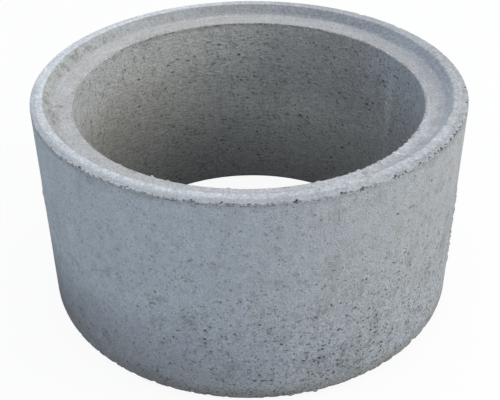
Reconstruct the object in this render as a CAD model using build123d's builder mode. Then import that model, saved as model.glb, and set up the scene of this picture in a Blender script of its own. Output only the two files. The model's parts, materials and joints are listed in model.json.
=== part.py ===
from build123d import *
import os
from math import hypot

# Concrete culvert ring, one casting. Rings like this are stacked into a shaft or laid in a row
# under a road. The upper end has a rebate inside a narrow rim, the lower end has a short tongue,
# and each ring's tongue drops into the rebate of the ring below it.
# Millimetres, +Z up, with the origin on the axis at the bottom of the tongue.

# The barrel
bore_diameter = 800.0
wall_thickness = 90.0
laying_height = 500.0

# The rebate in the upper end: a flat rim, a sloped face, then a ledge that drains to the bore
rim_width = 29.0
rebate_depth = 23.0
rebate_slope_run = 17.5
ledge_fall = 7.0

# Room between a tongue and the rebate that it sits in, measured square to the faces
joint_gap = 3.0

# Edges left round by the mould, and the hollow corner at the foot of each sloped face
rim_edge_radius = 4.0
base_edge_radius = 5.0
mouth_edge_radius = 3.0
inside_corner_radius = 5.0

# Radii and heights that follow from the sizes above
bore_radius = bore_diameter / 2
outer_radius = bore_radius + wall_thickness
rebate_mouth_radius = outer_radius - rim_width
rebate_foot_radius = rebate_mouth_radius - rebate_slope_run

tongue_depth = rebate_depth - joint_gap
rim_height = tongue_depth + laying_height
rebate_foot_height = rim_height - rebate_depth
ledge_mouth_height = rebate_foot_height - ledge_fall

# The tongue's sloped face is parallel to the rebate's, and lies joint_gap inside it
slope_shift = joint_gap * hypot(rebate_slope_run, rebate_depth) / rebate_depth
tongue_root_radius = rebate_mouth_radius - slope_shift
tongue_toe_radius = tongue_root_radius - rebate_slope_run * tongue_depth / rebate_depth

# Corners of the wall's section, as radius and height
tongue_mouth = (bore_radius, 0)
tongue_toe = (tongue_toe_radius, 0)
tongue_root = (tongue_root_radius, tongue_depth)
base_edge = (outer_radius, tongue_depth)
rim_edge = (outer_radius, rim_height)
rebate_mouth = (rebate_mouth_radius, rim_height)
rebate_foot = (rebate_foot_radius, rebate_foot_height)
ledge_mouth = (bore_radius, ledge_mouth_height)

corner_radii = [
    (tongue_mouth, mouth_edge_radius),
    (tongue_toe, mouth_edge_radius),
    (tongue_root, inside_corner_radius),
    (base_edge, base_edge_radius),
    (rim_edge, rim_edge_radius),
    (rebate_mouth, mouth_edge_radius),
    (rebate_foot, inside_corner_radius),
    (ledge_mouth, mouth_edge_radius),
]

# The ring: the wall's section with its corners rounded, turned once round the axis
with BuildPart() as culvert_ring:
    with BuildSketch(Plane.XZ) as wall_section:
        with BuildLine():
            Polyline(
                tongue_mouth,
                tongue_toe,
                tongue_root,
                base_edge,
                rim_edge,
                rebate_mouth,
                rebate_foot,
                ledge_mouth,
                close=True,
            )
        make_face()
        for corner, radius in corner_radii:
            fillet(wall_section.vertices().sort_by_distance(corner)[0], radius)
    revolve(axis=Axis.Z)

culvert_ring.part.label = "culvert_ring"

os.makedirs("parts", exist_ok=True)
export_step(culvert_ring.part, "parts/culvert_ring.step")
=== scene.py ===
import json
from math import acos, atan2, ceil, cos, hypot, pi, radians, sin, tau
from random import Random

import bmesh
import bpy
from mathutils import Matrix, Vector, kdtree, noise


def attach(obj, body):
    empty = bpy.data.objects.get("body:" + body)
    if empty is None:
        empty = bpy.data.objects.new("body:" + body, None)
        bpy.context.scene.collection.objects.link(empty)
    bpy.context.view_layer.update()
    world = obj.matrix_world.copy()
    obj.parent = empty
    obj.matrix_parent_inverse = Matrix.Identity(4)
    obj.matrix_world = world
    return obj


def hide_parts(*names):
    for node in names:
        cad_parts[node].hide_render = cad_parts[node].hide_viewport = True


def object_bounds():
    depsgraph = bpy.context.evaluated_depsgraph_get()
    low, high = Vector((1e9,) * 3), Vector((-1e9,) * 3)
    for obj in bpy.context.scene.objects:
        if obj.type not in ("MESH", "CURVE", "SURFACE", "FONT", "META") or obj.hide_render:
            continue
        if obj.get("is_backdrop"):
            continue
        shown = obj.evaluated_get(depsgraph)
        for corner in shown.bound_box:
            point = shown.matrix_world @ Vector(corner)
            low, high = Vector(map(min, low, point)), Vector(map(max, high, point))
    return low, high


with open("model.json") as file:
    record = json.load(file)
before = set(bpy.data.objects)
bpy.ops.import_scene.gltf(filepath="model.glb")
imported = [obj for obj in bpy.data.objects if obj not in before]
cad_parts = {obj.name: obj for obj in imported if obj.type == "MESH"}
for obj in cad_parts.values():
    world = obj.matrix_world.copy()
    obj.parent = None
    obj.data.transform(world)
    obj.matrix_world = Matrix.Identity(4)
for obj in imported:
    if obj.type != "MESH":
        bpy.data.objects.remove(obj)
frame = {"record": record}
cad_low, cad_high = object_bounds()


# The casting. One pour of dry grey concrete, rammed between two steel rings and struck while
# green. The upper end carries a flat rim, a sloped face and a ledge; the lower end a short tongue
# with the wall's shoulder round it. Sizes in metres, those of the joint as the part has them.
mounts = {mount["name"]: mount for mount in frame["record"]["mounts"]}
outer_radius = cad_high.x
bore_radius = mounts["bore"]["dims"]["r_mm"] / 1000
rim_height = cad_high.z
shoulder_height = mounts["shoulder"]["pos_m"][2]
rim_width = 0.029
rebate_depth = 0.023
rebate_slope_run = 0.0175
ledge_fall = 0.007
joint_gap = rebate_depth - shoulder_height

rebate_mouth_radius = outer_radius - rim_width
rebate_foot_radius = rebate_mouth_radius - rebate_slope_run
rebate_foot_height = rim_height - rebate_depth
ledge_mouth_height = rebate_foot_height - ledge_fall
slope_shift = joint_gap * hypot(rebate_slope_run, rebate_depth) / rebate_depth
tongue_root_radius = rebate_mouth_radius - slope_shift
tongue_toe_radius = tongue_root_radius - rebate_slope_run * shoulder_height / rebate_depth

tongue_mouth = Vector((bore_radius, 0, 0))
tongue_toe = Vector((tongue_toe_radius, 0, 0))
tongue_root = Vector((tongue_root_radius, 0, shoulder_height))
base_edge = Vector((outer_radius, 0, shoulder_height))
rim_edge = Vector((outer_radius, 0, rim_height))
rebate_mouth = Vector((rebate_mouth_radius, 0, rim_height))
rebate_foot = Vector((rebate_foot_radius, 0, rebate_foot_height))
ledge_mouth = Vector((bore_radius, 0, ledge_mouth_height))

# Each corner of the wall's section, with its rounding as the offset of a bevel
section = [
    (tongue_mouth, 0.0015),
    (tongue_toe, 0.003),
    (tongue_root, 0.003),
    (base_edge, 0.004),
    (rim_edge, 0.002),
    (rebate_mouth, 0.004),
    (rebate_foot, 0.005),
    (ledge_mouth, 0.002),
]
corner_segments = 3

ring = bmesh.new()
corners = [ring.verts.new(corner) for corner, _ in section]
for here, ahead in zip(corners, corners[1:] + corners[:1]):
    ring.edges.new((here, ahead))
for corner, (_, offset) in zip(corners, section):
    bmesh.ops.bevel(
        ring,
        geom=[corner],
        offset=offset,
        offset_type="OFFSET",
        segments=corner_segments,
        profile=0.5,
        affect="VERTICES",
        material=-1,
    )

# The arrises that crumble. The damage reaches a little way to both sides of the corner, and there
# the mesh gets closer rows and more steps round the ring. Each is at its worst on one side.
arrises = [
    # corner, reach, rows apart, cuts round the ring, worst side in degrees, least damage elsewhere
    (rim_edge, 0.0095, 0.0023, 4, -30, 0.30),
    (ledge_mouth, 0.0085, 0.0024, 4, 105, 0.15),
    (base_edge, 0.0150, 0.0034, 2, -45, 0.45),
]
wall_cell = 0.0112
steps_round = 276


def section_point(point):
    """A point turned round the axis into the section's plane, as radius and height."""
    return Vector((hypot(point.x, point.y), 0, point.z))


def arris_beside(point):
    """The crumbling arris that the point lies within reach of, or None."""
    flat = section_point(point)
    for arris in arrises:
        if (flat - arris[0]).length < arris[1]:
            return arris
    return None


# A long edge is split just inside an arris's reach, then every edge into rows
split_share = 0.95
long_edge = 1.2
for corner, reach, *_ in arrises:
    for edge in list(ring.edges):
        close = min(edge.verts, key=lambda vert: (vert.co - corner).length)
        rounding = (close.co - corner).length
        beside = rounding < reach and close.co.z > shoulder_height
        if beside and edge.calc_length() > long_edge * reach:
            share = (split_share * reach - rounding) / edge.calc_length()
            bmesh.utils.edge_split(edge, close, share)
for edge in list(ring.edges):
    first, second = (arris_beside(vert.co) for vert in edge.verts)
    longest = first[2] if first and first is second else wall_cell
    cuts = ceil(edge.calc_length() / longest) - 1
    if cuts > 0:
        bmesh.ops.subdivide_edges(ring, edges=[edge], cuts=cuts)

bmesh.ops.spin(
    ring,
    geom=ring.verts[:] + ring.edges[:],
    cent=(0, 0, 0),
    axis=(0, 0, 1),
    angle=tau,
    steps=steps_round,
    use_merge=True,
)
same_place = 0.00005
bmesh.ops.remove_doubles(ring, verts=ring.verts[:], dist=same_place)
bmesh.ops.recalc_face_normals(ring, faces=ring.faces[:])


def runs_round(edge):
    """True for an edge along the ring, whose ends have the same radius and height."""
    first, second = (section_point(vert.co) for vert in edge.verts)
    return (first - second).length < 2 * same_place


for arris in arrises:
    arris_edges = [
        edge
        for edge in ring.edges
        if arris_beside(edge.verts[0].co) is arris and runs_round(edge)
    ]
    bmesh.ops.subdivide_edges(ring, edges=arris_edges, cuts=arris[3])

# The outer mould is two half shells. Their joints left a low ragged fin on opposite sides, rubbed
# off again along most of its height: angle in degrees, lowest and highest point, and how far it
# stands out. The cells along a joint are divided more finely.
seams = [
    (-16.3, 0.085, 0.320, 0.0022),
    (-163.7, 0.275, 0.340, 0.0018),
]
seam_cuts = 3
seam_half_width = 0.003
outer_face_radius = outer_radius - 0.002


def towards(point, side):
    """How far round to one side of the ring a point lies, from -1 to 1."""
    return cos(atan2(point.y, point.x) - radians(side))


for side, lowest, highest, _ in seams:
    half_column = cos(pi / steps_round)
    middles = [(face, face.calc_center_median()) for face in ring.faces]
    column = {
        edge: None
        for face, middle in middles
        if hypot(middle.x, middle.y) > outer_face_radius and lowest < middle.z < highest
        if towards(middle, side) > half_column
        for edge in face.edges
    }
    bmesh.ops.subdivide_edges(ring, edges=list(column), cuts=seam_cuts, use_grid_fill=True)


# The points and cells get one order that is the same on every run, for the random draws below. It
# starts at a small angle at which no point lies.
order_start = 0.001


def place_order(point):
    """Puts points in order of their height, then their angle, then their radius."""
    flat = section_point(point)
    angle = (atan2(point.y, point.x) + order_start) % tau
    return round(flat.z, 5), round(angle, 5), round(flat.x, 5)


for number, vert in enumerate(sorted(ring.verts, key=lambda vert: place_order(vert.co))):
    vert.index = number
ring.verts.sort()
for number, face in enumerate(
    sorted(ring.faces, key=lambda face: place_order(face.calc_center_median()))
):
    face.index = number
ring.faces.sort()


# The wall's faces and arrises as they came out. The steel rings leave shallow waves, the grid is
# shaken so that no air hole stands in line with its neighbour, and striking the mould tore grains
# out of the arrises, most of all under the rim's outer edge. Material is lost inwards only.
shake = Random(7)
cell_shake = 0.16
shake_margin = 0.020
wave_depth = 0.0006
wave_length = 0.14
ripple_depth = 0.0003
ripple_length = 0.03
grain_size = 0.0034
grain_depth = 0.0009
lump_size = 0.011
lump_depth = 0.0016
pit_size = 0.0046
pit_cluster = 0.050
pit_depth = 0.0030
wall_tolerance = 0.004
pitted = ring.verts.layers.float.new("pitted")
cast_radius = ring.verts.layers.float.new("cast_radius")

# The core that moulds the rebate sat a little off centre, so the rim is narrow on one side and wide
# on the other. At the front right the mouth's edge was left swollen.
core_shift = 0.0075
core_side = 108
swollen_reach = 0.018
swollen_height = 0.0028
swollen_side = -62

# The chips and burrs that catch the eye: the angle round the ring in degrees, then half width and
# depth in millimetres, where a burr has a depth below zero. chip_sector is the cosine of an angle
# that none of them reaches, and a mark belongs to the arris that it lies within beside_arris of.
chip_sector = cos(radians(2.6))
beside_arris = 0.005
rim_beside_edge = rim_edge - Vector((0.0048, 0, 0))

# Pits along the rim's outer edge
rim_edge_marks = [
    (-133.4, 3.0, 1.6), (-132.0, 4.2, 2.2), (-125.7, 3.0, 1.6), (-119.4, 3.0, 1.6),
    (-118.4, 2.7, 1.4), (-116.8, 2.4, 1.2), (-113.2, 2.7, 1.4), (-107.0, 2.4, 1.2),
    (-104.3, 3.0, 1.6), (-102.2, 4.3, 1.8), (-98.5, 2.7, 1.4), (-96.5, 3.0, 1.6),
    (-95.0, 3.8, 2.0), (-93.6, 2.7, 1.4), (-90.3, 3.7, 1.9), (-89.0, 2.7, 1.4),
    (-85.4, 3.0, 1.6), (-83.8, 2.7, 1.4), (-80.5, 5.0, 2.6), (-79.4, 3.0, 1.6),
    (-74.0, 2.7, 1.4), (-70.2, 3.0, 1.6), (-69.2, 4.2, 2.2), (-67.8, 3.0, 1.6),
    (-65.2, 3.8, 2.0), (-64.0, 3.6, 1.9), (-62.8, 3.0, 1.6), (-56.2, 4.4, 2.3),
    (-54.6, 2.7, 1.4), (-48.2, 3.8, 1.9), (-46.6, 2.5, 1.2), (-44.6, 2.6, 1.3),
    (-42.4, 3.3, 1.6), (-41.0, 3.0, 1.5), (-39.2, 3.4, 1.7), (-37.8, 3.0, 1.5),
    (-34.5, 2.2, 1.1), (-32.0, 3.8, 1.9), (-30.2, 3.4, 1.7), (-26.5, 2.6, 1.3),
    (-28.4, 3.0, 1.5), (-24.6, 3.0, 1.5), (-20.0, 4.2, 2.2), (-15.0, 3.6, 1.8),
    (-12.4, 3.8, 1.9), (-8.4, 3.6, 1.8), (3.5, 3.4, 1.7), (11.3, 3.4, 1.7),
    (38.0, 8.0, 2.2), (52.0, 7.0, 1.8),
]
# Smaller pits beside it, on the rim
rim_marks = [
    (-132.6, 3.2, 1.6), (-118.0, 2.8, 1.4), (-102.8, 3.0, 1.5), (-96.0, 3.0, 1.5),
    (-80.0, 3.6, 1.8), (-69.8, 3.2, 1.6), (-64.6, 3.4, 1.7), (-55.6, 3.4, 1.7),
    (-52.6, 2.8, 1.4), (-47.4, 3.0, 1.5), (-44.0, 2.6, 1.3), (-41.6, 3.1, 1.6),
    (-40.0, 2.8, 1.4), (-38.6, 3.4, 1.7), (-36.4, 2.5, 1.2), (-33.4, 3.0, 1.5),
    (-31.0, 3.6, 1.8), (-29.2, 3.1, 1.6), (-27.2, 2.5, 1.2), (-24.0, 2.5, 1.2),
    (-13.6, 3.2, 1.6), (-5.0, 2.8, 1.4),
]
# Gaps at the back of the ledge's mouth, burrs along its front
ledge_mouth_marks = [
    (143.0, 6.7, 1.8), (139.0, 5.2, 1.4), (136.6, 6.0, 1.6), (134.2, 4.5, 1.2),
    (130.0, 6.7, 1.8), (126.8, 5.6, 1.5), (123.0, 9.0, 2.4), (120.4, 6.7, 1.8),
    (118.6, 4.5, 1.2), (106.5, 7.3, 2.0), (103.2, 7.8, 2.1), (101.4, 4.5, 1.2),
    (95.8, 6.7, 1.8), (92.2, 5.2, 1.4), (79.6, 6.7, 1.8), (77.4, 4.5, 1.2),
    (73.6, 6.7, 1.8), (71.0, 4.9, 1.3), (67.4, 7.8, 2.1), (63.0, 6.7, 1.8),
    (61.0, 4.5, 1.2), (51.2, 5.6, 1.5), (48.6, 4.5, 1.2), (45.6, 6.0, 1.6),
    (40.0, 4.9, 1.3), (-96.0, 4.0, -1.6), (-71.0, 5.0, -1.8), (-65.0, 3.0, -1.1),
    (-60.8, 2.4, -1.4), (-52.4, 2.4, -1.4), (-48.0, 2.4, -1.1), (-43.0, 2.6, -1.6),
    (-34.0, 2.4, -1.6), (-26.5, 2.6, -1.6), (-21.0, 3.0, -1.3), (-58.0, 4.0, -1.9),
    (-54.5, 3.0, -1.3), (-50.0, 4.0, -2.2), (-46.0, 3.0, -1.4), (-40.0, 3.0, -1.9),
    (-37.0, 2.4, -1.4), (-31.0, 3.4, -2.1), (-29.0, 2.4, -1.6), (-24.0, 3.0, -1.3),
    (-130.0, 3.0, -1.6), (-118.4, 3.0, -3.0), (-113.3, 2.4, -2.0),
]
# Chips and two burrs of the outer wall's lower edge
base_edge_marks = [
    (-143.0, 5.0, 2.4), (-138.5, 4.0, 1.8), (-134.5, 4.4, 2.4), (-131.5, 3.6, 1.8),
    (-128.0, 5.0, 2.2), (-125.0, 4.0, 2.2), (-121.5, 4.6, 1.8), (-115.5, 5.0, 3.2),
    (-111.0, 4.6, 2.4), (-105.0, 4.4, 2.2), (-101.0, 5.0, 1.6), (-96.5, 4.0, 1.6),
    (-86.5, 4.0, 1.4), (-83.0, 3.6, 1.6), (-80.5, 4.4, -2.0), (-77.0, 4.6, 1.8),
    (-74.0, 4.4, -3.0), (-70.5, 4.6, 1.6), (-64.0, 5.0, 1.8), (-59.0, 5.0, 2.4),
    (-54.5, 4.0, 2.2), (-50.0, 5.0, 3.0), (-42.0, 9.0, 5.0), (-36.0, 7.0, 4.0),
    (20.0, 12.0, 5.0), (118.0, 10.0, 4.5), (165.0, 9.0, 5.5),
]
placed_marks = (
    (rim_edge, rim_edge_marks),
    (rim_beside_edge, rim_marks),
    (ledge_mouth, ledge_mouth_marks),
    (base_edge, base_edge_marks),
)
chips = [(spot, *mark) for spot, marks in placed_marks for mark in marks]

# Stains and paler patches that catch the eye: the angle in degrees, the radius and height in
# millimetres, half the length along the ring and half the height, and how strong a stain is, or
# how pale a patch where that is below zero. stain_sector is the cosine of an angle that none of
# them reaches.
stain_sector = 0.94
stained = ring.verts.layers.float.new("stained")
bleached = ring.verts.layers.float.new("bleached")
stains = [
    (-149, 490, 335, 28, 40, 0.45),
    (-144, 490, 205, 9, 9, 0.60),
    (-139, 490, 112, 34, 12, 0.50),
    (-129.5, 490, 98, 15, 18, 0.90),
    (-126, 490, 302, 22, 10, 0.45),
    (-115, 490, 45, 64, 18, 1.00),
    (-105, 490, 232, 26, 30, 0.45),
    (-103, 490, 212, 10, 18, 0.50),
    (-71, 490, 362, 9, 36, 0.50),
    (-74, 490, 230, 7, 80, 0.35),
    (-129, 490, 503, 30, 11, 1.00),
    (-118.5, 490, 503, 9, 8, 0.70),
    (-113, 490, 510, 30, 6, 0.60),
    (-70, 490, 96, 90, 46, 0.40),
    (-66, 490, 70, 30, 24, 0.60),
    (-60, 490, 489, 8, 15, 0.55),
    (-58, 490, 180, 12, 26, 0.70),
    (-39, 490, 430, 12, 18, 0.55),
    (-39, 490, 190, 11, 28, 0.65),
    (-133, 490, 470, 4, 36, 0.60),
    (-74, 490, 470, 4, 34, 0.50),
    (-29, 490, 262, 12, 70, 0.60),
    (-21, 490, 210, 10, 90, 0.50),
    (32, 400, 402, 15, 9, 0.95),
    (34, 400, 392, 24, 24, 0.45),
    (40, 400, 312, 9, 14, 0.50),
    (80, 400, 300, 46, 160, 0.30),
    (132, 400, 484, 80, 7, 0.60),
    (108, 400, 484, 60, 6, 0.40),
    (128, 407, 491, 70, 8, 0.45),
    (143, 453, 508, 24, 9, 0.40),
    (152, 453, 508, 12, 9, 0.50),
    (160, 453, 508, 10, 12, 0.85),
    (166, 452, 507, 10, 14, 0.95),
    (169, 430, 496, 5, 20, 0.60),
    (-171, 430, 496, 5, 20, 0.85),
    (-164, 444, 498, 50, 9, 0.75),
    (-136, 434, 496, 16, 8, 0.40),
    (27, 400, 340, 13, 130, -0.60),
    (178, 427, 494, 26, 18, -0.80),
    (-108, 490, 222, 6, 30, -0.50),
]


def turned(point, along, up):
    """The point moved along the ring and up, staying on its own radius."""
    radius = hypot(point.x, point.y)
    angle = atan2(point.y, point.x) + along / radius
    return Vector((radius * cos(angle), radius * sin(angle), point.z + up))


def on_wall(point, margin):
    """True on the outer wall or in the bore, at least margin away from their ends."""
    flat = section_point(point)
    outer = flat.x > outer_radius - wall_tolerance
    bore = flat.x < bore_radius + wall_tolerance
    low = shoulder_height if outer else 0
    high = rim_height if outer else ledge_mouth_height
    return (outer or bore) and low + margin < flat.z < high - margin


def over(value, threshold, span):
    """How far a value is over a threshold, from 0 to 1 across the span."""
    return min(1, max(0, (value - threshold) / span))


for vert in ring.verts:
    if on_wall(vert.co, shake_margin):
        along = shake.uniform(-cell_shake, cell_shake) * wall_cell
        up = shake.uniform(-cell_shake, cell_shake) * wall_cell
        vert.co = turned(vert.co, along, up)

for vert in ring.verts:
    flat = section_point(vert.co)
    vert[cast_radius] = flat.x
    if flat.z > ledge_mouth_height - 0.001:
        over_ledge = (flat.x - bore_radius) / (rebate_foot_radius - bore_radius)
        up_slope = (flat.x - rebate_foot_radius) / rebate_slope_run
        over_rim = (outer_radius - flat.x) / rim_width
        at_mouth = min(max(up_slope, 0), over_rim)
        at_foot = min(over_ledge, max(1 - up_slope, 0))
        shift = core_shift * towards(vert.co, core_side)
        shift = shift * at_mouth + min(shift, 0) * at_foot
        vert.co += Vector((vert.co.x, vert.co.y, 0)).normalized() * shift

# What each point loses along its normal. The noises are moved apart, so that they don't agree.
ring.normal_update()
losses = {}
for vert in ring.verts:
    point = vert.co
    wave = 0.5 + 0.5 * noise.noise(point / wave_length)
    ripple = 0.5 + 0.5 * noise.noise(point / ripple_length + Vector((3, 1, 4)))
    losses[vert] = wave_depth * wave + ripple_depth * ripple
    swollen = 1 - (section_point(point) - ledge_mouth).length / swollen_reach
    if swollen > 0:
        side = over(towards(point, swollen_side), 0.3, 0.5)
        losses[vert] -= swollen_height * min(1, 1.5 * swollen) * side
    arris = arris_beside(point)
    if arris:
        corner, reach, _, _, worst_side, least = arris
        nearness = 1 - (section_point(point) - corner).length / reach
        worst = least + (1 - least) * over(towards(point, worst_side), 0.2, 0.7)
        grain = 0.5 + 0.5 * noise.noise(point / grain_size)
        lump = 0.5 + 0.7 * noise.noise(point / lump_size + Vector((9, 2, 6)))
        cluster = over(noise.noise(point / pit_cluster + Vector((1, 7, 2))), -0.25, 0.5)
        pit = over(noise.noise(point / pit_size + Vector((4, 4, 9))), 0.12, 0.3) * cluster * worst
        losses[vert] += nearness ** 3 * worst * (grain_depth * grain + lump_depth * lump)
        torn = over(nearness, 0.2, 0.4) * pit
        losses[vert] += pit_depth * torn
        for spot, angle, half_width, depth in chips:
            if (spot - corner).length < beside_arris and towards(point, angle) > chip_sector:
                middle = turned(spot, radians(angle) * spot.x, 0)
                ragged = 0.5 * noise.noise(point / grain_size + Vector((8, 8, 8)))
                share = over(-(point - middle).length * 1000 / half_width - ragged, -1.3, 0.7)
                losses[vert] += min(1, 2 * nearness) * depth / 1000 * share
                if depth > 0:
                    torn = max(torn, share * min(1, 2 * depth / half_width))
        vert[pitted] = torn
    for side, lowest, highest, fin_height in seams:
        if towards(point, side) > chip_sector and hypot(point.x, point.y) > outer_face_radius:
            aside = (point - turned(base_edge, radians(side) * base_edge.x, 0)).xy.length
            ends = min(over(point.z, lowest, 0.03), over(-point.z, -highest, 0.03))
            ragged = over(noise.noise(point / ripple_length * 3), -0.35, 0.5)
            losses[vert] -= fin_height * over(-aside, -seam_half_width, 0.001) * ends * ragged
    for angle, radius, height, half_length, half_height, strength in stains:
        if towards(point, angle) > stain_sector:
            middle = Vector((radius, 0, height)) / 1000
            along = acos(min(1, towards(point, angle))) * radius / half_length
            up = (section_point(point) - middle).length * 1000 / half_height
            share = over(-hypot(along, up), -1.3, 0.9)
            layer = stained if strength > 0 else bleached
            vert[layer] = max(vert[layer], abs(strength) * share)
for vert, loss in losses.items():
    vert.co -= vert.normal * loss

# Wear must not push the standing face below the floor or the rim above its height
for vert in ring.verts:
    vert.co.z = min(max(vert.co.z, 0), rim_height)


# Air holes. Air trapped against the steel leaves blind holes from a grain to a fingertip across,
# more of them low on the outer wall and all through the bore, some drawn out sideways where the
# mix slid past the mould as it was struck. Depths are in half heights of the mouth.
hole_draw = Random(21)
hole_margin = 0.018
hole_chance_outer = 0.150
hole_chance_bore = 0.112
clusters_per_metre = 9
small_hole = 0.0012
large_hole = 0.0038
long_hole_chance = 0.14
hole_depth = 1.7
depth_spread = (0.7, 1.3)
cell_border = 0.0006
mouth_border = 0.0002
mouth_room = 0.94
smallest_reach = 0.66
bottom_share = 0.7
bottom_shake = 0.15
# The mouth of a hole is darkened a little, partly dirt and partly painted shade
mouth_dirt_and_shade = 0.2
hollow = ring.verts.layers.float.new("hollow")

# The largest ones, where the photograph shows them: the angle round the ring in degrees and the
# height in millimetres, then half the length, half the height and the tilt of the mouth
outer_holes = [
    (-62, 290, 3.4, 3.0, 10),
    (-51, 230, 3.0, 3.4, 30),
    (-71, 345, 3.6, 1.8, 15),
    (-71, 255, 3.6, 1.6, -5),
    (-68, 88, 3.8, 3.6, 0),
    (-66, 90, 3.0, 2.4, 20),
    (-58, 145, 3.0, 2.8, 0),
    (-58, 184, 3.2, 3.0, 40),
    (-54, 142, 2.6, 2.6, 0),
    (-73, 149, 3.0, 2.2, 0),
    (-81, 153, 4.2, 1.7, 10),
    (-83, 133, 3.2, 2.0, 0),
    (-87, 184, 7.0, 1.5, 12),
    (-84, 181, 6.0, 1.6, -3),
    (-97, 287, 2.6, 2.4, 0),
    (-95, 224, 2.6, 2.4, 0),
    (-107, 191, 6.0, 2.0, 8),
    (-112, 149, 7.0, 1.6, -6),
    (-104, 115, 7.0, 1.5, -8),
    (-109, 173, 3.0, 2.8, 0),
    (-101, 136, 2.6, 2.4, 0),
    (-103, 380, 5.0, 1.3, 12),
    (-101, 374, 2.6, 2.0, 0),
    (-130, 107, 3.4, 3.2, 50),
    (-138, 78, 3.4, 3.0, 0),
    (-120, 56, 3.4, 2.6, 0),
    (-46, 156, 2.8, 2.8, 0),
    (-43, 186, 2.6, 3.0, 0),
]
bore_holes = [
    (137, 309, 3.4, 4.4, 0),
    (128, 309, 3.4, 2.2, 0),
    (125, 285, 6.0, 1.6, -14),
    (114, 331, 3.4, 3.4, 0),
    (112, 336, 2.6, 2.4, 0),
    (121, 374, 7.0, 1.8, 10),
    (105, 443, 7.0, 1.5, 8),
    (112, 404, 2.6, 2.4, 0),
    (109, 161, 2.8, 2.4, 0),
    (99, 105, 3.0, 2.4, 0),
    (92, 136, 2.8, 2.2, 0),
    (131, 96, 2.8, 3.0, 0),
    (95, 334, 2.6, 2.6, 0),
    (79, 309, 3.0, 2.2, 0),
    (83, 204, 4.0, 1.8, 6),
    (76, 246, 2.8, 2.6, 0),
    (39.8, 398, 8.0, 2.6, -12),
    (31, 406, 5.4, 3.6, -30),
    (29.5, 396, 5.4, 5.0, 0),
    (26, 440, 4.4, 3.0, 0),
    (38.2, 324, 6.0, 5.2, 12),
    (37.2, 312, 6.0, 5.0, 0),
    (35.6, 333, 4.4, 3.6, 0),
    (40, 239, 3.2, 2.8, 0),
    (56, 170, 3.6, 2.0, 8),
    (55, 379, 4.4, 1.8, -10),
    (64, 147, 2.8, 2.4, 0),
    (79, 448, 7.0, 1.2, 3),
    (83, 432, 7.0, 1.3, -4),
]


def hole_chance(point):
    """How likely a cell of the wall holds an air hole, from 0 to 1."""
    cluster = max(0.15, 0.55 + 1.2 * noise.noise(point * clusters_per_metre + Vector((5, 5, 5))))
    if hypot(point.x, point.y) < (bore_radius + outer_radius) / 2:
        return hole_chance_bore * cluster
    low = over(-point.z, -0.36, 0.26)
    right = over(point.x, -0.25, 0.4)
    return hole_chance_outer * cluster * (0.22 + low * (0.9 + 1.1 * right))


def neighbour(face):
    """The next cell along the ring."""
    for edge in face.edges:
        if abs((edge.verts[0].co - edge.verts[1].co).normalized().z) > 0.7:
            for beside in edge.link_faces:
                if beside is not face and len(beside.verts) == 4:
                    return beside


cells = [
    face
    for face in ring.faces
    if len(face.verts) == 4 and on_wall(face.calc_center_median(), hole_margin)
]
finder = kdtree.KDTree(len(cells))
for number, face in enumerate(cells):
    finder.insert(face.calc_center_median(), number)
finder.balance()

chosen = {}
for wall_radius, large_holes in ((outer_radius, outer_holes), (bore_radius, bore_holes)):
    for angle, height, half_length, half_height, tilt in large_holes:
        place = turned(Vector((wall_radius, 0, height / 1000)), radians(angle) * wall_radius, 0)
        number = finder.find(place)[1]
        chosen[cells[number]] = (place, half_length / 1000, half_height / 1000, radians(tilt))
for face in cells:
    if hole_draw.random() < hole_chance(face.calc_center_median()) and face not in chosen:
        size = small_hole + (large_hole - small_hole) * hole_draw.random() ** 2.2
        stretch = 1 + 0.9 * hole_draw.random() ** 2
        flatness = hole_draw.uniform(0.75, 1)
        if hole_draw.random() < long_hole_chance:
            stretch = hole_draw.uniform(2.6, 4.5)
            flatness = 0.6
        tilt = hole_draw.gauss(0, 0.35) / stretch
        chosen[face] = (face.calc_center_median(), size * stretch, size * flatness, tilt)

# A hole that is longer than its cell takes the next cell along the ring too
taken = set(chosen)
hole_faces = []
mouths = []
for face, (place, half_length, half_height, tilt) in chosen.items():
    half_cell = pi * hypot(place.x, place.y) / steps_round
    if half_length > half_cell:
        beside = neighbour(face)
        if beside is not None and beside not in taken:
            taken.add(beside)
            face = bmesh.utils.face_join([face, beside])
    hole_faces.append(face)
    mouths.append((place, half_length, half_height, tilt))
bmesh.ops.inset_individual(ring, faces=hole_faces, thickness=cell_border, depth=0)


def shape_mouth(face, place, half_length, half_height, tilt):
    """Gives an inset cell the outline of a hole's mouth; returns its middle and its outward way."""
    middle = face.calc_center_median()
    outward = face.normal.copy()
    sideways = Vector((0, 0, 1)).cross(outward).normalized()
    upward = outward.cross(sideways)
    along = [(vert.co - middle).dot(sideways) for vert in face.verts]
    up = [(vert.co - middle).dot(upward) for vert in face.verts]
    far = max(abs(value) for value in along) / 2
    room_along = mouth_room * min(abs(value) for value in along if abs(value) > far)
    room_up = mouth_room * min(abs(value) for value in up)
    half_length = min(half_length, room_along)
    half_height = min(half_height, room_up)
    slack_along = room_along - half_length
    slack_up = room_up - half_height
    shift_along = min(slack_along, max(-slack_along, (place - middle).dot(sideways)))
    shift_up = min(slack_up, max(-slack_up, (place - middle).dot(upward)))
    for edge in list(face.edges):
        bmesh.utils.edge_split(edge, edge.verts[0], 0.5)
    for vert in sorted(face.verts, key=lambda vert: place_order(vert.co)):
        offset = vert.co - middle
        turn = atan2(offset.dot(upward) / room_up, offset.dot(sideways) / room_along)
        reach = hole_draw.uniform(smallest_reach, 1.0)
        length = half_length * reach * cos(turn)
        height = half_height * reach * sin(turn)
        vert.co = middle + sideways * (shift_along + length * cos(tilt) - height * sin(tilt))
        vert.co += upward * (shift_up + length * sin(tilt) + height * cos(tilt))
        vert[hollow] = mouth_dirt_and_shade
    return middle + sideways * shift_along + upward * shift_up, outward


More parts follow.
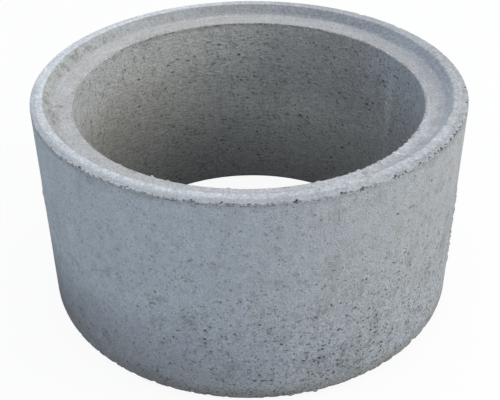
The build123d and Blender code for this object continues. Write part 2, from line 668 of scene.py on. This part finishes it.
shaped = [shape_mouth(face, *mouth) for face, mouth in zip(hole_faces, mouths)]
bmesh.ops.inset_individual(ring, faces=hole_faces, thickness=mouth_border, depth=0)
for face, mouth, (middle, outward) in zip(hole_faces, mouths, shaped):
    depth = hole_depth * mouth[2] * hole_draw.uniform(*depth_spread)
    for vert in sorted(face.verts, key=lambda vert: place_order(vert.co)):
        vert.co = middle + (vert.co - middle) * bottom_share - outward * depth
        vert.co += Vector(hole_draw.uniform(-1, 1) for axis in range(3)) * depth * bottom_shake
        vert[hollow] = 1

crease = radians(38)
ring.normal_update()
mesh = bpy.data.meshes.new("culvert_ring_casting")
ring.to_mesh(mesh)
ring.free()
mesh.shade_smooth()
mesh.set_sharp_from_angle(angle=crease)
casting = bpy.data.objects.new("culvert_ring_casting", mesh)
bpy.context.scene.collection.objects.link(casting)


# Cast concrete: grey cement paste over sand. Matt and mottled, darker towards the ground, partly from
# damp and partly as painted shade, warmer and lighter high on the bore's left as painted light, and
# paler on the trowelled rim and the ledge.
def paint(colour):
    """A hex sRGB colour as the linear colour with alpha that a shader takes."""
    channels = [int(colour[i:i + 2], 16) / 255 for i in (1, 3, 5)]
    linear = [c / 12.92 if c <= 0.04045 else ((c + 0.055) / 1.055) ** 2.4 for c in channels]
    return (*linear, 1)


def add_node(tree, kind, inputs, **settings):
    """Adds a node; an input is a number, a colour, a vector or another node's output."""
    made = tree.nodes.new(kind)
    for name, value in settings.items():
        setattr(made, name, value)
    for socket, value in inputs.items():
        if isinstance(value, bpy.types.NodeSocket):
            tree.links.new(value, made.inputs[socket])
        else:
            made.inputs[socket].default_value = value
    return made


concrete = bpy.data.materials.new("cast_concrete")
concrete.use_nodes = True
tree = concrete.node_tree
tree.nodes.clear()

position = add_node(tree, "ShaderNodeTexCoord", {}).outputs["Object"]
axes = add_node(tree, "ShaderNodeSeparateXYZ", {0: position})
across = axes.outputs["X"]
height = axes.outputs["Z"]
in_plan = add_node(
    tree, "ShaderNodeVectorMath", {0: position, 1: (1, 1, 0)}, operation="MULTIPLY"
).outputs[0]
radius = add_node(tree, "ShaderNodeVectorMath", {0: in_plan}, operation="LENGTH").outputs[1]
back_left = (cos(radians(150)), sin(radians(150)), 0)
towards_back_left = add_node(
    tree, "ShaderNodeVectorMath", {0: position, 1: back_left}, operation="DOT_PRODUCT"
).outputs[1]
back = axes.outputs["Y"]

# The radius that a place was cast at, before the arrises wore and the core's shift was added
cast_from = add_node(tree, "ShaderNodeAttribute", {}, attribute_name="cast_radius").outputs["Fac"]

# Zones of the ring, each a mask that goes from 0 to 1 between two radii, heights or places across
zones = {
    "right": (across, -0.45, 0.45),
    "rightmost": (across, -0.10, 0.40),
    "right of the middle": (across, 0.12, 0.25),
    "far right": (across, 0.28, 0.35),
    "left": (across, 0.10, -0.42),
    "middle right": (across, -0.35, 0.10),
    "back": (back, -0.05, 0.30),
    "front": (back, 0.05, -0.30),
    "middle back": (back, 0.20, 0.40),
    "back left": (towards_back_left, -0.15, 0.45),
    "bore": (cast_from, bore_radius + 0.0060, bore_radius + 0.0025),
    "outside": (cast_from, outer_radius - 0.0030, outer_radius - 0.0010),
    "inside the wall": (cast_from, outer_radius - 0.0010, outer_radius - 0.0030),
    "off the slope": (cast_from, rebate_mouth_radius - 0.0010, rebate_mouth_radius + 0.0030),
    "lip": (cast_from, outer_radius - 0.0040, outer_radius - 0.0022),
    "upper end": (height, ledge_mouth_height - 0.004, ledge_mouth_height),
    "above the ledge": (height, rebate_foot_height - 0.0010, rebate_foot_height + 0.0055),
    "rim": (height, rim_height - 0.0045, rim_height - 0.0025),
    "rim edge": (cast_from, outer_radius - 0.016, outer_radius - 0.009),
    "lower half": (height, 0.42, 0.16),
    "low": (height, 0.24, 0.10),
    "near the base": (height, 0.13, 0.05),
    "base": (height, 0.056, 0.032),
    "under the rim": (height, rim_height - 0.016, rim_height - 0.004),
    "close under the rim": (height, rim_height - 0.0075, rim_height - 0.0055),
    "upper half": (height, 0.33, 0.42),
    "half deep": (height, 0.33, 0.24),
    "under the mouth": (height, ledge_mouth_height - 0.012, ledge_mouth_height - 0.004),
    "deep": (height, 0.24, 0.04),
}
masks = {
    name: add_node(
        tree, "ShaderNodeMapRange", {"Value": source, "From Min": low, "From Max": high}
    ).outputs[0]
    for name, (source, low, high) in zones.items()
}

# The upper end is the rim, the slope and the ledge, without the outer wall beside them
masks["upper end"] = add_node(
    tree, "ShaderNodeMath", {0: masks["upper end"], 1: masks["inside the wall"]}, operation="MULTIPLY"
).outputs[0]

# Patterns of noise, each with the size of its blotches in metres and how much longer they are
# along X, Y and Z. A pattern drawn out along X and Y lies along the ring on every face. Real sand
# is finer than these grains, which are as coarse as they need to be to show.
patterns = {
    # name: (size, drawn out, detail, from, to)
    "clouds": (0.090, (1, 1, 1), 2, 0.40, 0.62),
    "patches": (0.045, (1, 1, 0.8), 4, 0.45, 0.65),
    "stains": (0.020, (1, 1, 1.3), 4, 0.55, 0.68),
    "blotches": (0.022, (1, 1, 1), 3, 0.35, 0.65),
    "mottle": (0.009, (1, 1, 1), 3, 0.32, 0.68),
    "sand": (0.0040, (1, 1, 1), 2, 0.32, 0.68),
    "grit": (0.0026, (1, 1, 1), 1, 0.30, 0.70),
    "crumbs": (0.0046, (1.3, 1.3, 1), 2, 0.57, 0.64),
    "runs": (0.012, (1, 1, 9), 4, 0.42, 0.70),
    "specks": (0.0060, (1.2, 1.2, 1), 4, 0.49, 0.57),
    "drags": (0.0070, (1.9, 1.9, 1), 4, 0.36, 0.68),
}
for name, (size, drawn_out, detail, low, high) in patterns.items():
    finer = tuple(1 / (size * factor) for factor in drawn_out)
    grain = add_node(
        tree, "ShaderNodeVectorMath", {0: position, 1: finer}, operation="MULTIPLY"
    ).outputs[0]
    cloud = add_node(
        tree,
        "ShaderNodeTexNoise",
        {"Vector": grain, "Scale": 1, "Detail": detail, "Roughness": 0.6},
    ).outputs["Fac"]
    masks[name] = add_node(
        tree, "ShaderNodeMapRange", {"Value": cloud, "From Min": low, "From Max": high}
    ).outputs[0]

# The trowel went round the upper end and left fine marks along it
trowel_mark = 0.0034
trowel_length = 0.10
flat_point = add_node(
    tree, "ShaderNodeVectorMath", {0: in_plan, 1: (1 / trowel_length,) * 3}, operation="MULTIPLY"
).outputs[0]
turned_radius = add_node(
    tree, "ShaderNodeMath", {0: radius, 1: 1 / trowel_mark}, operation="MULTIPLY"
).outputs[0]
lifted = add_node(tree, "ShaderNodeCombineXYZ", {2: turned_radius}).outputs[0]
marks_point = add_node(
    tree, "ShaderNodeVectorMath", {0: flat_point, 1: lifted}, operation="ADD"
).outputs[0]
marks = add_node(
    tree,
    "ShaderNodeTexNoise",
    {"Vector": marks_point, "Scale": 1, "Detail": 3, "Roughness": 0.6},
).outputs["Fac"]
masks["trowel marks"] = add_node(
    tree, "ShaderNodeMapRange", {"Value": marks, "From Min": 0.36, "From Max": 0.64}
).outputs[0]

# Pores, grains of dark sand and short drag marks: spots in cells of a given size, of which only a
# share holds one. The spots are a little larger than real grains, so that they show at this size.
spots = {
    # name: (cell, drawn out, largest radius, share of the cells)
    "pores": (0.0066, (1, 1, 1), 0.42, 0.60),
    "wide pores": (0.0135, (1.2, 1.2, 1), 0.28, 0.60),
    "dashes": (0.0062, (3.0, 3.0, 1), 0.31, 0.45),
    "marks": (0.030, (1.5, 1.5, 1), 0.17, 0.45),
}
for name, (cell, drawn_out, largest, share) in spots.items():
    finer = tuple(1 / (cell * factor) for factor in drawn_out)
    scaled = add_node(
        tree, "ShaderNodeVectorMath", {0: position, 1: finer}, operation="MULTIPLY"
    ).outputs[0]
    voronoi = add_node(tree, "ShaderNodeTexVoronoi", {"Vector": scaled, "Scale": 1})
    draw = add_node(tree, "ShaderNodeSeparateColor", {0: voronoi.outputs["Color"]}).outputs[0]
    reach = add_node(
        tree,
        "ShaderNodeMapRange",
        {"Value": draw, "From Min": 1 - share, "From Max": 1, "To Min": 0, "To Max": largest},
    ).outputs[0]
    depth = add_node(
        tree, "ShaderNodeMath", {0: reach, 1: voronoi.outputs["Distance"]}, operation="SUBTRACT"
    ).outputs[0]
    masks[name] = add_node(
        tree, "ShaderNodeMapRange", {"Value": depth, "From Min": 0, "From Max": 0.06}
    ).outputs[0]

# The placed stains and pale patches come with the mesh
for name in ("stained", "bleached"):
    masks[name] = add_node(tree, "ShaderNodeAttribute", {}, attribute_name=name).outputs["Fac"]

# One pale curved scratch crosses the ledge at the front right: the part of a thin circle that
# lies near the scratch's middle
scratch_middle = (0.3103, -0.2836, 0.494)
scratch_centre = (0.3290, -0.2300, 0.494)
scratch_bend = 0.0568
off_middle = add_node(
    tree, "ShaderNodeVectorMath", {0: position, 1: scratch_middle}, operation="DISTANCE"
).outputs[1]
off_centre = add_node(
    tree, "ShaderNodeVectorMath", {0: position, 1: scratch_centre}, operation="DISTANCE"
).outputs[1]
off_line = add_node(
    tree, "ShaderNodeMath", {0: off_centre, 1: scratch_bend, 2: 0.0026}, operation="COMPARE"
).outputs[0]
on_scratch = add_node(
    tree, "ShaderNodeMapRange", {"Value": off_middle, "From Min": 0.025, "From Max": 0.019}
).outputs[0]
masks["scratch"] = add_node(
    tree, "ShaderNodeMath", {0: off_line, 1: on_scratch}, operation="MULTIPLY"
).outputs[0]

# The layers of colour from the ground up: the concrete's own tones and stains, and some painted
# light and shade, marked where they stand. Each is laid in where all its masks meet, and is either a
# colour or a pattern that darkens and lightens what lies under it.
bare_paste = "#c9d2db"
layers = [
    # masks, then a colour or a pattern with its darkest and lightest tone
    (["middle right"], "#cfd6dd"),
    (["rightmost"], "#c0c4c9"),
    # Darker towards the ground, partly damp and partly painted shade, most of all as painted shade
    # low on the left
    (["low"], "#c2c9d2"),
    (["low", "left"], "#9aa2aa"),
    (["near the base"], "#c0c5cc"),
    (["near the base", "left"], "#8a8d90"),
    (["right", "outside", "stains"], "#b3b4b1"),
    (["right", "outside", "runs", "clouds"], "#b5b7b7"),
    (["lower half", "outside", "stains"], "#abb0b4"),
    # The foot of the outer wall: darker and browner, partly soil and partly painted shade
    (["base", "outside"], "#9c9d9a"),
    (["base", "outside", "left"], "#93979c"),
    (["base", "outside", "rightmost"], "#afb0af"),
    (["under the rim", "outside"], "#b9bec4"),
    (["under the rim", "outside", "patches"], "#b0b4ba"),
    (["under the rim", "outside", "far right"], "#adadae"),
    # Dark specks just under the rim's outer edge at the front: pits, with painted shadow under the
    # edge
    (["close under the rim", "outside", "front", "specks"], "#7d7e7f"),
    (["bore"], "#b0b3b3"),
    # Painted light and shade in the bore: warmer and lighter high on the left, where the softbox
    # shines in, darker and cooler to the right, on the shaded side
    (["bore", "left"], "#b4b3ae"),
    (["bore", "left", "upper half"], "#c4c5c5"),
    (["bore", "right of the middle"], "#a4a6a8"),
    (["bore", "far right"], "#a8acb0"),
    (["bore", "far right", "upper half"], "#acb3bc"),
    (["bore", "half deep", "middle back"], "#c4c5c3"),
    # Painted shadow: the opening's shadow falling on the left of the bore
    (["bore", "half deep", "left"], "#a09f9b"),
    # Painted shade: the bore darker towards the bottom, most of all on the left
    (["bore", "deep"], "#a2a3a1"),
    (["bore", "deep", "left"], "#949491"),
    (["bore", "stains"], "#a5a6a2"),
    (["upper end"], "#bcbcbe"),
    (["upper end", "back left"], "#c5c3c1"),
    (["upper end", "front"], "#c9c8ca"),
    (["upper end", "front", "left"], "#bcbbba"),
    (["upper end", "front", "rightmost"], "#d0d0d3"),
    (["upper end", "front", "rightmost", "patches"], "#b0aeb4"),
    # The slope above the ledge: darker and bluer, partly its own tone and partly painted shade, most
    # of all at the middle back; lighter on the left, where painted light falls
    (["upper end", "above the ledge"], "#a5abb3"),
    (["upper end", "above the ledge", "front", "rightmost"], "#c7cbd0"),
    (["upper end", "above the ledge", "middle back"], "#989aa0"),
    (["upper end", "above the ledge", "left"], "#b5b5b4"),
    (["upper end", "above the ledge", "left", "stains"], "#94918a"),
    (["rim", "off the slope"], "#cdd0d4"),
    (["rim", "off the slope", "back left"], "#dddfe3"),
    (["rim", "off the slope", "rightmost"], "#b8babd"),
    (["rim", "off the slope", "rightmost", "front"], "#cacccf"),
    (["rim", "off the slope", "rightmost", "back"], "#b5b7ba"),
    (["rim", "front", "rim edge"], "#bdc0c5"),
    (["rim", "front", "rim edge", "mottle"], "#acafb4"),
    (["rim", "rightmost", "rim edge"], "#b5b7ba"),
    (["rim", "front", "lip", "left"], "#d0d3d8"),
    (["rim", "front", "lip", "specks"], "#96989b"),
    (["bore", "under the mouth", "middle back"], "#9c9b98"),
    (["bleached"], "#c6c9cd"),
    (["stained"], ("blotches", 0.78, 0.92)),
    (["stained", "right", "specks"], "#8f8e8a"),
    (["stained", "upper end", "specks"], "#85837d"),
    (["clouds"], ("clouds", 0.96, 1.04)),
    (["outside"], ("blotches", 0.95, 1.05)),
    (["bore"], ("blotches", 0.95, 1.05)),
    (["upper end"], ("trowel marks", 0.93, 1.06)),
    (["upper end"], ("blotches", 0.95, 1.05)),
    (["upper end"], ("mottle", 0.94, 1.06)),
    (["upper end"], ("sand", 0.88, 1.09)),
    (["upper end"], ("grit", 0.88, 1.12)),
    (["upper end"], ("crumbs", 1.00, 0.82)),
    (["upper end"], ("marks", 1.00, 0.74)),
    (["upper end", "front", "rightmost"], ("mottle", 0.92, 1.07)),
    (["upper end", "above the ledge"], ("mottle", 0.90, 1.09)),
    (["outside"], ("sand", 0.90, 1.10)),
    (["outside"], ("grit", 0.87, 1.13)),
    (["outside", "lower half", "middle right"], ("mottle", 0.91, 1.08)),
    (["outside", "lower half", "middle right"], ("sand", 0.90, 1.10)),
    (["outside"], ("pores", 1.00, 0.71)),
    (["outside"], ("wide pores", 1.00, 0.74)),
    (["outside", "lower half"], ("crumbs", 1.00, 0.84)),
    (["outside", "lower half", "middle right"], ("crumbs", 1.00, 0.72)),
    (["outside", "lower half", "middle right"], ("pores", 1.00, 0.58)),
    (["outside", "lower half", "middle right"], ("wide pores", 1.00, 0.52)),
    (["bore"], ("drags", 0.90, 1.08)),
    (["bore"], ("mottle", 0.93, 1.06)),
    (["bore"], ("sand", 0.93, 1.07)),
    (["bore"], ("grit", 0.87, 1.13)),
    (["bore"], ("dashes", 1.00, 0.52)),
    (["bore"], ("pores", 1.00, 0.68)),
    (["bore"], ("wide pores", 1.00, 0.66)),
    (["bore"], ("crumbs", 1.00, 0.72)),
    (["scratch"], ("sand", 1.24, 1.36)),
]
colour = paint(bare_paste)
for names, finish in layers:
    where = masks[names[0]]
    for name in names[1:]:
        where = add_node(
            tree, "ShaderNodeMath", {0: where, 1: masks[name]}, operation="MULTIPLY"
        ).outputs[0]
    if isinstance(finish, str):
        colour = add_node(
            tree, "ShaderNodeMix", {0: where, 6: colour, 7: paint(finish)}, data_type="RGBA"
        ).outputs[2]
    else:
        pattern, darkest, lightest = finish
        tone = add_node(
            tree,
            "ShaderNodeMapRange",
            {"Value": masks[pattern], "To Min": darkest, "To Max": lightest},
        ).outputs[0]
        share = add_node(
            tree, "ShaderNodeMix", {0: where, 2: 1.0, 3: tone}, data_type="FLOAT"
        ).outputs[0]
        colour = add_node(
            tree, "ShaderNodeVectorMath", {0: colour, 1: share}, operation="MULTIPLY"
        ).outputs[0]

# Darker in the air holes and, with a sharper edge, in the torn arrises: partly dirt and partly
# painted shade in the hollows
for layer, low, high, dirt_and_shade in (("hollow", 0.0, 1.05, "#3b3a36"), ("pitted", 0.2, 0.95, "#4a4946")):
    worn = add_node(tree, "ShaderNodeAttribute", {}, attribute_name=layer).outputs["Fac"]
    where = add_node(
        tree, "ShaderNodeMapRange", {"Value": worn, "From Min": low, "From Max": high}
    ).outputs[0]
    colour = add_node(
        tree, "ShaderNodeMix", {0: where, 6: colour, 7: paint(dirt_and_shade)}, data_type="RGBA"
    ).outputs[2]

# Sand grains stand out everywhere, drag marks in the bore and small lumps on the upper end
relief = add_node(
    tree,
    "ShaderNodeBump",
    {"Height": masks["sand"], "Strength": 0.7, "Distance": 0.0008},
).outputs[0]
dragged = add_node(
    tree, "ShaderNodeMath", {0: masks["drags"], 1: masks["bore"]}, operation="MULTIPLY"
).outputs[0]
relief = add_node(
    tree,
    "ShaderNodeBump",
    {"Height": dragged, "Strength": 0.9, "Distance": 0.0015, "Normal": relief},
).outputs[0]
lumpy = add_node(
    tree, "ShaderNodeMath", {0: masks["mottle"], 1: masks["upper end"]}, operation="MULTIPLY"
).outputs[0]
relief = add_node(
    tree,
    "ShaderNodeBump",
    {"Height": lumpy, "Strength": 0.7, "Distance": 0.0016, "Normal": relief},
).outputs[0]
shader = add_node(
    tree,
    "ShaderNodeBsdfPrincipled",
    {
        "Base Color": colour,
        "Roughness": 0.92,
        "IOR": 1.5,
        "Specular IOR Level": 0.25,
        "Normal": relief,
    },
)
add_node(tree, "ShaderNodeOutputMaterial", {"Surface": shader.outputs[0]})

casting.data.materials.append(concrete)
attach(casting, "root")
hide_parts("culvert_ring")


# The floor. A pale studio floor that reads white to the camera and keeps the ring's soft shadow,
# while the light it throws back up is that of dark ground.
floor_radius = 9
floor_mesh = bmesh.new()
bmesh.ops.create_circle(floor_mesh, cap_ends=True, radius=floor_radius, segments=96)
floor_data = bpy.data.meshes.new("studio_floor")
floor_mesh.to_mesh(floor_data)
floor_mesh.free()
floor = bpy.data.objects.new("studio_floor", floor_data)
bpy.context.scene.collection.objects.link(floor)

floor_paint = bpy.data.materials.new("studio_floor_paint")
floor_paint.use_nodes = True
tree = floor_paint.node_tree
tree.nodes.clear()
seen = add_node(tree, "ShaderNodeLightPath", {}).outputs["Is Camera Ray"]
glow = add_node(tree, "ShaderNodeEmission", {"Color": (1, 1, 1, 1), "Strength": 1})
matt = add_node(tree, "ShaderNodeBsdfDiffuse", {"Color": (0.9, 0.9, 0.9, 1)})
ground = add_node(tree, "ShaderNodeBsdfDiffuse", {"Color": (0.07, 0.07, 0.07, 1)})
to_camera = add_node(
    tree, "ShaderNodeMixShader", {0: 0.92, 1: matt.outputs[0], 2: glow.outputs[0]}
)
whole = add_node(
    tree, "ShaderNodeMixShader", {0: seen, 1: ground.outputs[0], 2: to_camera.outputs[0]}
)
add_node(tree, "ShaderNodeOutputMaterial", {"Surface": whole.outputs[0]})
floor.data.materials.append(floor_paint)
floor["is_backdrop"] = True


# Studio light. A broad soft sky from all round, and one large softbox low on the right that
# reaches through the opening to the left side of the bore.
world = bpy.data.worlds.new("studio_sky")
bpy.context.scene.world = world
world.use_nodes = True
tree = world.node_tree
tree.nodes.clear()
seen = add_node(tree, "ShaderNodeLightPath", {}).outputs["Is Camera Ray"]
sky = add_node(tree, "ShaderNodeBackground", {"Color": paint("#f1f8ff"), "Strength": 0.89})
white = add_node(tree, "ShaderNodeBackground", {"Color": (1, 1, 1, 1), "Strength": 1})
both = add_node(tree, "ShaderNodeMixShader", {0: seen, 1: sky.outputs[0], 2: white.outputs[0]})
add_node(tree, "ShaderNodeOutputWorld", {"Surface": both.outputs[0]})

softbox_distance = 4.0
softbox_round = radians(-10)
softbox_up = radians(25)
softbox = bpy.data.lights.new("softbox_right", "AREA")
softbox.size = 2.0
softbox.energy = 64
softbox.color = paint("#fff8eb")[:3]
softbox_stand = bpy.data.objects.new("softbox_right", softbox)
bpy.context.scene.collection.objects.link(softbox_stand)
middle = Vector((0, 0, rim_height / 2))
level = Vector((cos(softbox_round), sin(softbox_round), 0)) * cos(softbox_up)
softbox_stand.location = middle + softbox_distance * (level + Vector((0, 0, sin(softbox_up))))
aim = middle - softbox_stand.location
softbox_stand.rotation_euler = aim.to_track_quat("-Z", "Y").to_euler()


# The camera, where the photograph was taken from: chest height, a little over a metre from the
# wall, looking down into the ring. The sizes in pixels are those of the photograph's frame.
camera_back = 1.744
camera_height = 1.3985
look_down = radians(31.81)
look_aside = radians(0.057)
roll = radians(-0.55)
image_width = 500
image_height = 400
focal_pixels = 853.26
centre_across = 250.5
centre_down = 156.28
sensor_width = 36

camera_data = bpy.data.cameras.new("camera")
camera_data.sensor_fit = "HORIZONTAL"
camera_data.sensor_width = sensor_width
camera_data.lens = focal_pixels / image_width * sensor_width
camera_data.shift_x = (image_width / 2 - centre_across) / image_width
camera_data.shift_y = (centre_down - image_height / 2) / image_width
camera = bpy.data.objects.new("camera", camera_data)
bpy.context.scene.collection.objects.link(camera)
camera.matrix_world = (
    Matrix.Translation((0, -camera_back, camera_height))
    @ Matrix.Rotation(-look_aside, 4, "Z")
    @ Matrix.Rotation(pi / 2 - look_down, 4, "X")
    @ Matrix.Rotation(roll, 4, "Z")
)
bpy.context.scene.camera = camera
bpy.context.scene.view_settings.view_transform = "Standard"

bpy.context.view_layer.update()
low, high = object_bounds()
